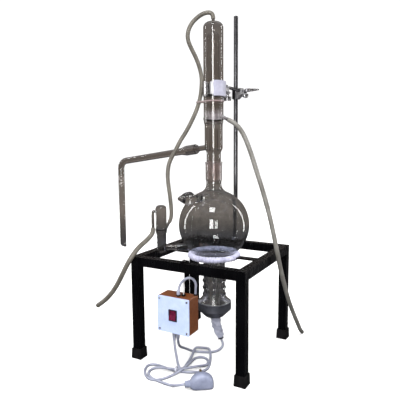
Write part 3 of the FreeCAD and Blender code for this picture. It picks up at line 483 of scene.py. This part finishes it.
DRAIN_HOSE = [
    (-67.5, -96, 376), (-67.5, -96, 363), (-71, -108, 351), (-72, -130, 341), (-70, -155, 335),
    (-68, -179, 326), (-71, -198, 310), (-80, -206, 290), (-93, -208, 266), (-110, -207, 238),
    (-128, -206, 212), (-148, -205, 189), (-172, -204, 167), (-195, -203, 151),
]
LINK_LEAD = [
    (74, -184, 220), (74, -184, 233), (78, -180, 250), (89, -175, 263), (103, -169, 268), (113, -164, 260),
    (115, -159, 246), (112, -157, 233), (112, -157, 220),
]
EARTH_LEAD = [
    (86, -177, 220), (86, -177, 228), (83, -173, 239), (80, -166, 249), (81, -158, 255), (81, -152.1, 255),
]
HEATER_LEAD = [
    (70, -183, 112), (70, -183, 100), (67, -178, 84), (61, -165, 68), (54, -148, 54), (50, -129, 42),
    (49, -110, 31), (49, -90, 18), (52, -73, 7), (62, -63, 3.6), (79, -57, 3.6), (97, -49, 3.6),
    (112, -34, 4), (119, -18, 7), (120, -5, 13), (116, 0, 20), (111, 0, 29),
]
MAINS_LEAD = [
    (58, -183, 112), (58, -183, 100), (60, -186, 84), (64, -189, 66), (69, -191, 48), (73, -192, 32),
    (77, -192, 18), (82, -188, 9), (82, -176, 4.5), (76, -155, 3.6), (68, -118, 3.6), (60, -88, 4.5),
    (55, -70, 10.5), (52, -53, 10.5), (58, -37, 5), (72, -31, 4), (86, -38, 9), (98, -50, 11),
    (109, -66, 7), (121, -90, 3.6), (133, -118, 3.6), (139, -142, 3.6), (128, -164, 3.6), (107, -178, 3.6),
    (84, -187, 3.6), (52, -192, 3.6), (18, -187, 3.6), (-8, -187, 3.6), (-21, -200, 3.6), (-15, -223, 3.6),
    (2, -246, 3.6), (24, -261, 3.6), (46, -258, 3.6), (62, -238, 3.6), (74, -212, 5), (84, -190, 10.5),
    (84, -160, 10.5), (80, -130, 7), (76, -104, 4), (88, -86, 3.6), (108, -88, 3.6), (123, -104, 3.6),
    (127, -124, 4.5), (114, -146, 9), (96, -172, 11), (72, -194, 11), (44, -203, 11), (16, -204, 8),
    (0, -214, 3.6), (6, -239, 3.6), (30, -255, 3.6), (66, -259, 3.6), (98, -262, 5), (120, -263.5, 12),
    (133.6, -255.5, 15),
]


def spline_points(cord):
    """Points along a cord's own smooth line."""
    bare = cord.copy()
    bare.data = cord.data.copy()
    bare.data.bevel_depth = 0
    bare.parent = None
    bpy.context.scene.collection.objects.link(bare)
    bpy.context.view_layer.update()
    depsgraph = bpy.context.evaluated_depsgraph_get()
    mesh = bpy.data.meshes.new_from_object(bare.evaluated_get(depsgraph))
    line = [vertex.co.copy() for vertex in mesh.vertices]
    bpy.data.objects.remove(bare)
    bpy.data.meshes.remove(mesh)
    return line


def mesh_object(name, bm, material):
    """A smooth-shaded piece of the stand from a finished bmesh."""
    mesh = bpy.data.meshes.new(name)
    bm.to_mesh(mesh)
    bm.free()
    for polygon in mesh.polygons:
        polygon.use_smooth = True
    mesh.materials.append(MATERIALS[material])
    obj = new_object(name, mesh)
    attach(obj, "stand")
    return obj


def loft(rings, ends=True):
    """A skin through closed rings of points, all with the same count."""
    bm = bmesh.new()
    loops = [[bm.verts.new(point) for point in ring] for ring in rings]
    count = len(loops[0])
    for here, following in zip(loops, loops[1:]):
        for index in range(count):
            after = (index + 1) % count
            bm.faces.new((here[index], here[after], following[after], following[index]))
    if ends:
        bm.faces.new(list(reversed(loops[0])))
        bm.faces.new(loops[-1])
    bmesh.ops.recalc_face_normals(bm, faces=bm.faces)
    return bm


def frame_of(direction):
    """Two unit vectors square to a direction."""
    direction = direction.normalized()
    helper = Vector((0, 0, 1)) if abs(direction.z) < 0.9 else Vector((1, 0, 0))
    side = direction.cross(helper).normalized()
    return side, direction.cross(side).normalized()


def ring_at(centre, direction, radius, count):
    """A circle of points round a centre, square to a direction."""
    side, other = frame_of(direction)
    return [
        centre + (side * math.cos(angle) + other * math.sin(angle)) * radius
        for angle in round_angles(count)
    ]


# Outline of a hose's cut end: (distance past the cord's end in metres, share of the hose's radius).
HOSE_END = [(-0.0005, 0.995), (0.0042, 1), (0.005, 0.95), (0.005, 0.62), (0.0046, 0.57), (0.0001, 0.55)]
HOSE_END_SIDES, BORE_FLOOR_RADIUS = 40, 0.0002


def open_end(name, cord, diameter, material):
    """The cut end of a hose, with its bore showing."""
    line = spline_points(cord)
    direction = (line[-1] - line[-3]).normalized()
    profile = [(along, diameter / 2 * share) for along, share in HOSE_END]
    profile.append((HOSE_END[-1][0], BORE_FLOOR_RADIUS))
    rings = [
        ring_at(line[-1] + direction * along, direction, radius, HOSE_END_SIDES)
        for along, radius in profile
    ]
    return mesh_object(name, loft(rings, ends=False), material)


RING_MIDDLE, RING_RADIUS = Vector((STILL_X, 0, 0.292)), 0.071
ROPE_STEPS, ROPE_SIDES, ROPE_TURNS = 616, 20, 44
ROPE_RADIUS, ROPE_CORE, ROPE_RIDGE, RIDGE_POWER = 0.009, 0.0067, 0.0024, 0.7
FINE_FUZZ, FINE_SCALE = 0.0009, 330
COARSE_FUZZ, COARSE_SCALE = 0.0006, 60
ROPE_MERGE = 0.00001


def wound_ring():
    """White fibre rope wound close round the flask's ring, each turn a soft ridge."""
    rings = []
    for heading in (*round_angles(ROPE_STEPS), 0.0):
        outward = Vector((math.cos(heading), math.sin(heading), 0))
        ring = []
        for angle in round_angles(ROPE_SIDES):
            across = outward * math.cos(angle) + Vector((0, 0, math.sin(angle)))
            spot = RING_MIDDLE + outward * RING_RADIUS + across * ROPE_RADIUS
            ridge = abs(math.sin((ROPE_TURNS * heading + angle) / 2)) ** RIDGE_POWER
            fuzz = noise.noise(spot * FINE_SCALE) * FINE_FUZZ + noise.noise(spot * COARSE_SCALE) * COARSE_FUZZ
            radius = ROPE_CORE + ROPE_RIDGE * ridge + fuzz
            ring.append(RING_MIDDLE + outward * RING_RADIUS + across * radius)
        rings.append(ring)
    bm = loft(rings, ends=False)
    bmesh.ops.remove_doubles(bm, verts=bm.verts, dist=ROPE_MERGE)
    return mesh_object("wound_ring", bm, "fibre_rope")


# Rows of the sleeve, top to foot, in millimetres: (x, z, half width, half thickness).
SLEEVE = [
    (90, 97.9, 15.2, 13.5), (91, 93, 14.8, 9.5), (93.5, 82, 14.4, 7), (97, 68, 14, 6), (101, 54, 13.6, 5.6),
    (105, 43, 12.6, 5.4), (108.5, 35.5, 9.6, 5.4), (110.4, 31.5, 6.2, 5), (111, 29, 5, 4.8),
]
SLEEVE_WIDE, SLEEVE_THIN = Vector((0.873, 0.487, 0)), Vector((-0.487, 0.873, 0))
SLEEVE_STEPS, SLEEVE_SIDES = 6, 40
FLUTE_DEPTH, FOLD_DEPTH = 0.07, 0.06
CREASE_DEPTH, CREASE_SCALE = 0.16, 0.16


def sleeve():
    """Loose woven sleeve under the heater, squashed flat and wrinkled, drawn in at its foot."""
    rings = []
    for here, following in zip(SLEEVE, SLEEVE[1:]):
        for step in range(SLEEVE_STEPS):
            x, z, half_wide, half_thin = (
                a + (b - a) * step / SLEEVE_STEPS for a, b in zip(here, following)
            )
            ring = []
            for angle in round_angles(SLEEVE_SIDES):
                flutes, folds = math.sin(5 * angle + z / 7), math.sin(z / 2.3 + 2 * math.cos(angle))
                wrinkle = 1 + FLUTE_DEPTH * flutes + FOLD_DEPTH * folds
                across = SLEEVE_WIDE * math.cos(angle) * half_wide
                spot = across + SLEEVE_THIN * math.sin(angle) * half_thin
                crease = 1 + CREASE_DEPTH * noise.noise(Vector((spot.x, spot.y, z)) * CREASE_SCALE)
                ring.append(Vector((x, 0, z)) + spot * wrinkle * crease)
            rings.append(metres(ring))
    obj = mesh_object("heater_sleeve", loft(rings), "woven_sleeve")
    obj.modifiers.new("smooth", "SUBSURF").render_levels = 1
    return obj


BAND_SIDES, BAND_POWER = 48, 0.62
# Section of a band: (share of half its width, 0 for its inner face or 1 for its outer face).
BAND_SECTION = ((-1, 0), (-0.8, 1), (0.8, 1), (1, 0), (-1, 0))
BAND_MERGE = 0.000001


def squared(angle, power):
    """Cosine and sine of an angle on a circle; a power under 1 swells the circle towards a square."""
    return (math.copysign(abs(part) ** power, part) for part in (math.cos(angle), math.sin(angle)))


def band(name, material, centre, along, across, half_wide, half_tall, width, thick):
    """A flat band round a bundle, its loop square to the direction along; sizes in millimetres."""
    centre, along, across = Vector(centre), Vector(along).normalized(), Vector(across).normalized()
    up = along.cross(across)
    rings = []
    for shift, grow in BAND_SECTION:
        ring = []
        for angle in round_angles(BAND_SIDES):
            x, z = squared(angle, BAND_POWER)
            ring.append(
                centre + along * (shift * width / 2)
                + across * x * (half_wide + grow * thick) + up * z * (half_tall + grow * thick)
            )
        rings.append(metres(ring))
    bm = loft(rings, ends=False)
    bmesh.ops.remove_doubles(bm, verts=bm.verts, dist=BAND_MERGE)
    return mesh_object(name, bm, material)


# Rows of the plug, cord end to face, in millimetres: (distance along it, height of its middle, half height,
# half thickness, squareness).
PLUG = [
    (-45.1, 15, 5.4, 5.7, 2), (-44.4, 15, 7, 7.4, 2), (-42.9, 15, 8.7, 9.2, 2), (-41.4, 15, 8.7, 9.2, 2),
    (-40.7, 15, 7.4, 7.8, 2), (-39.6, 15, 7.4, 7.8, 2), (-38.9, 15, 9.2, 9.8, 2), (-37.2, 15, 9.2, 9.8, 2),
    (-36.5, 15, 7.9, 8.4, 2), (-35.4, 15, 7.9, 8.4, 2), (-34.8, 15, 9.7, 10.3, 2), (-33, 15, 9.7, 10.3, 2),
    (-32.3, 15, 8.5, 9, 2), (-31.2, 15, 8.7, 9.2, 2), (-29.7, 14.6, 11, 11, 2.3),
    (-27, 15.8, 14, 13.1, 2.7), (-22, 17.8, 17.2, 14.6, 3.2), (-15.4, 19.8, 19.4, 15.1, 3.8),
    (-6.6, 21, 20.7, 15.2, 4), (3.3, 21, 20.7, 15.2, 4), (13.2, 20.2, 19.9, 15.2, 4),
    (20.9, 18, 17.7, 14.8, 3.6), (26.4, 15.6, 15, 13.6, 3), (29, 14, 11.5, 10.6, 2.6),
    (29.7, 13.6, 6, 5.3, 2.2),
]
PLUG_X, PLUG_Y = 170, -229
PLUG_TURN = math.radians(36)
PLUG_SIDES, PLUG_SEAMS, SEAM_HEIGHT = 48, (12, 36), 0.4
PLUG_FLOOR_GAP = 0.2


def plug():
    """Moulded plug lying on its edge: ribbed grip, swollen body and the seam of its two halves."""
    axis = Vector((math.cos(PLUG_TURN), math.sin(PLUG_TURN), 0))
    side_axis = Vector((-math.sin(PLUG_TURN), math.cos(PLUG_TURN), 0))
    rings = []
    for along, middle, half_tall, half_thick, squareness in PLUG:
        ring = []
        for side, angle in enumerate(round_angles(PLUG_SIDES)):
            flat, tall = squared(angle, 2 / squareness)
            seam = SEAM_HEIGHT if side in PLUG_SEAMS else 0
            height = max(middle + tall * (half_tall + seam), PLUG_FLOOR_GAP)
            foot = Vector((PLUG_X, PLUG_Y, height))
            ring.append(foot + axis * along + side_axis * flat * half_thick)
        rings.append(metres(ring))
    obj = mesh_object("moulded_plug", loft(rings), "plug_grey")
    obj.modifiers.new("smooth", "SUBSURF").render_levels = 1
    return obj


RELIEF_THICK, RELIEF_THIN = 0.0056, 0.0039
RIB_HEIGHT, RIB_LENGTH = 0.0005, 0.0028
RELIEF_SIDES = 28


def relief(name, cord, length):
    """Ribbed tapered strain relief on the first stretch of a lead."""
    line = spline_points(cord)
    rings, gone = [], 0.0
    for here, following in zip(line, line[1:]):
        if gone > length:
            break
        rib = RIB_HEIGHT if int(gone / RIB_LENGTH) % 2 else 0.0
        radius = RELIEF_THICK + (RELIEF_THIN - RELIEF_THICK) * gone / length + rib
        rings.append(ring_at(here, following - here, radius, RELIEF_SIDES))
        gone += (following - here).length
    return mesh_object(name, loft(rings), "white_lead")


crossover = cord_curve("crossover_hose_line", CROSSOVER_HOSE, CROSSOVER_WIDE, "grey_hose")
inlet = cord_curve("inlet_hose_line", INLET_HOSE, INLET_WIDE, "pale_hose")
drain = cord_curve("drain_hose_line", DRAIN_HOSE, DRAIN_WIDE, "grey_hose")
link = cord_curve("link_lead_line", LINK_LEAD, LEAD_WIDE, "white_lead")
earth = cord_curve("earth_lead_line", EARTH_LEAD, EARTH_WIDE, "earth_sheath")
heater = cord_curve("heater_lead_line", HEATER_LEAD, LEAD_WIDE, "white_lead")
mains = cord_curve("mains_lead_line", MAINS_LEAD, LEAD_WIDE, "white_lead")

mains_relief = relief("mains_relief", mains, 0.026)
heater_relief = relief("heater_relief", heater, 0.02)
link_relief = relief("link_relief", link, 0.014)
hank_tie = band("hank_tie", "tie_white", (69, -192, 8), (1, 0.25, 0), (-0.25, 1, 0), 8, 7.6, 6, 0.8)
sleeve_tie = band("sleeve_tie", "switch_black", (110, 0, 32.4), (0.3, 0, -1), (0, 1, 0), 6.6, 6.6, 5, 1.2)
moulded_plug = plug()
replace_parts(wound_ring(), "ring_rope")
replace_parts(sleeve(), "cable_boot")
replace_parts(moulded_plug, "mains_plug")

inlet_end = open_end("inlet_hose_end", inlet, INLET_WIDE, "pale_hose")
drain_end = open_end("drain_hose_end", drain, DRAIN_WIDE, "grey_hose")

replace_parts(crossover, "crossover_hose")
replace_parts(inlet, "inlet_hose")
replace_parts(drain, "drain_hose")
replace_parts(link, "link_lead")
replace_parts(earth, "earth_lead")
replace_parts(heater, "heater_lead")
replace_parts(mains, "mains_lead", "mains_hank")


# ---------------------------------------------------------------- camera, floor and light

FLOOR_RADIUS = 9
PALE_FLOOR = [(0.3, (0.88, 0.88, 0.88)), (0.7, (0.91, 0.91, 0.91))]
DIM_FLOOR = [(0.0, (0.035, 0.034, 0.037)), (0.45, (0.06, 0.054, 0.05)), (1.0, (0.138, 0.12, 0.108))]
DIM_FLOOR_NEAR, DIM_FLOOR_FAR = 1.5, 3.2
SURROUND_STRENGTH = 1.1
ROOM_LOWEST, ROOM_HIGHEST = -0.2, 1.0
ROOM = [
    (0.0, (0.05, 0.042, 0.038)), (0.17, (0.145, 0.126, 0.113)), (0.3, (0.17, 0.149, 0.137)),
    (0.5, (0.19, 0.175, 0.17)), (1.0, (0.38, 0.37, 0.38)),
]


def lay_floor():
    """A floor that the camera sees pale, and that glass and metal mirror as the dim floor of a room."""
    bm = bmesh.new()
    bmesh.ops.create_circle(bm, cap_ends=True, segments=64, radius=FLOOR_RADIUS)
    floor = new_object("floor", bpy.data.meshes.new("floor"))
    bm.to_mesh(floor.data)
    bm.free()
    pale = Surface("floor_pale", Roughness=0.9, Specular_IOR_Level=0.0)
    pale.colour(pale.colours(pale.noise(3, 3), PALE_FLOOR))
    dim = pale.nodes.new("ShaderNodeBsdfDiffuse")
    away = pale.nodes.new("ShaderNodeVectorMath")
    away.operation = "LENGTH"
    pale.links.new(pale.place, away.inputs[0])
    far = pale.span(away.outputs["Value"], 0, 1, DIM_FLOOR_NEAR, DIM_FLOOR_FAR)
    pale.links.new(pale.colours(far, DIM_FLOOR), dim.inputs[0])
    shown = blend_by_ray(pale.nodes, pale.links, "Is Camera Ray", dim.outputs[0], pale.shader.outputs[0])
    pale.links.new(shown, pale.output.inputs[0])
    floor.data.materials.append(pale.material)


def surround():
    """A plain white surround for the camera, and the dim room that glass and metal mirror."""
    world = bpy.data.worlds.new("surround")
    bpy.context.scene.world = world
    world.use_nodes = True
    nodes, links = world.node_tree.nodes, world.node_tree.links
    nodes.clear()
    out = nodes.new("ShaderNodeOutputWorld")
    plain = nodes.new("ShaderNodeBackground")
    plain.inputs[0].default_value = (*WHITE, 1)
    plain.inputs[1].default_value = SURROUND_STRENGTH
    room = nodes.new("ShaderNodeBackground")
    coordinates = nodes.new("ShaderNodeTexCoord")
    split = nodes.new("ShaderNodeSeparateXYZ")
    links.new(coordinates.outputs["Generated"], split.inputs[0])
    span = nodes.new("ShaderNodeMapRange")
    span.inputs["From Min"].default_value = ROOM_LOWEST
    span.inputs["From Max"].default_value = ROOM_HIGHEST
    links.new(split.outputs["Z"], span.inputs["Value"])
    ramp = nodes.new("ShaderNodeValToRGB")
    fill_ramp(ramp.color_ramp, ROOM)
    links.new(span.outputs[0], ramp.inputs[0])
    links.new(ramp.outputs[0], room.inputs[0])
    shown = blend_by_ray(nodes, links, "Is Camera Ray", room.outputs[0], plain.outputs[0])
    links.new(shown, out.inputs[0])


def lamp(name, place, aim_height, wide, tall, power, mirrored=True, through=True):
    """A soft rectangular lamp aimed at the still's axis.

    A mirrored lamp shows in glass and metal, and also through glass unless that is turned off.
    """
    light = bpy.data.lights.new(name, "AREA")
    light.shape = "RECTANGLE"
    light.size, light.size_y = wide, tall
    light.energy = power
    obj = new_object(name, light)
    obj.location = place
    aim = Vector((STILL_X, 0, aim_height)) - Vector(place)
    obj.rotation_euler = aim.to_track_quat("-Z", "Y").to_euler()
    obj.visible_camera = False
    obj.visible_glossy = mirrored
    obj.visible_transmission = mirrored and through


DAYLIGHT_POWER, DAYLIGHT_SPREAD = 3.6, math.radians(70)
DAYLIGHT_TILT = (math.radians(12), math.radians(14), 0)


def daylight():
    """Broad soft light from above, the same over the whole floor."""
    light = bpy.data.lights.new("daylight", "SUN")
    light.energy = DAYLIGHT_POWER
    light.angle = DAYLIGHT_SPREAD
    obj = new_object("daylight", light)
    obj.rotation_euler = DAYLIGHT_TILT
    obj.visible_glossy = False
    obj.visible_transmission = False


CAMERA_PLACE = (0.68358, -1.15319, 0.6125)
CAMERA_TURN, CAMERA_DIP, CAMERA_ROLL = 0.508749, 0.118117, -0.0077856
CAMERA_LENS, CAMERA_SENSOR, CAMERA_REACH = 39.36, 36, 60


def camera():
    """The photo's own view, from the camera fit; the angles are in radians."""
    turn, dip, roll = CAMERA_TURN, CAMERA_DIP, CAMERA_ROLL
    ahead = Vector((-math.sin(turn) * math.cos(dip), math.cos(turn) * math.cos(dip), -math.sin(dip)))
    right = Vector((math.cos(turn), math.sin(turn), 0))
    up = right.cross(ahead)
    level = right * math.cos(roll) + up * math.sin(roll)
    upright = up * math.cos(roll) - right * math.sin(roll)
    data = bpy.data.cameras.new("camera")
    data.lens = CAMERA_LENS
    data.sensor_width = CAMERA_SENSOR
    data.clip_end = CAMERA_REACH
    obj = new_object("camera", data)
    axes = Matrix((level, upright, -ahead)).transposed().to_4x4()
    obj.matrix_world = Matrix.Translation(CAMERA_PLACE) @ axes
    bpy.context.scene.camera = obj


lay_floor()
surround()
camera()
bpy.context.scene.view_settings.view_transform = "Standard"
lamp("window", (1.006, -2.644, 0.95), 0.6, 0.58, 1.45, 34)
lamp("front_fill", (1.3, -2.5, 1.2), 0.5, 2.0, 1.6, 88, mirrored=False)
lamp("ceiling", (0.5, -1.3, 2.5), 0.5, 0.7, 0.7, 20)
lamp("left_edge", (-1.075, -0.295, 0.77), 0.77, 0.12, 1.5, 6.5, through=False)
lamp("right_edge", (0.95, 0.835, 0.77), 0.77, 0.12, 1.5, 6.5, through=False)
lamp("back_fill", (-0.6, 2.8, 1.6), 0.6, 2.2, 1.4, 40, mirrored=False)
daylight()
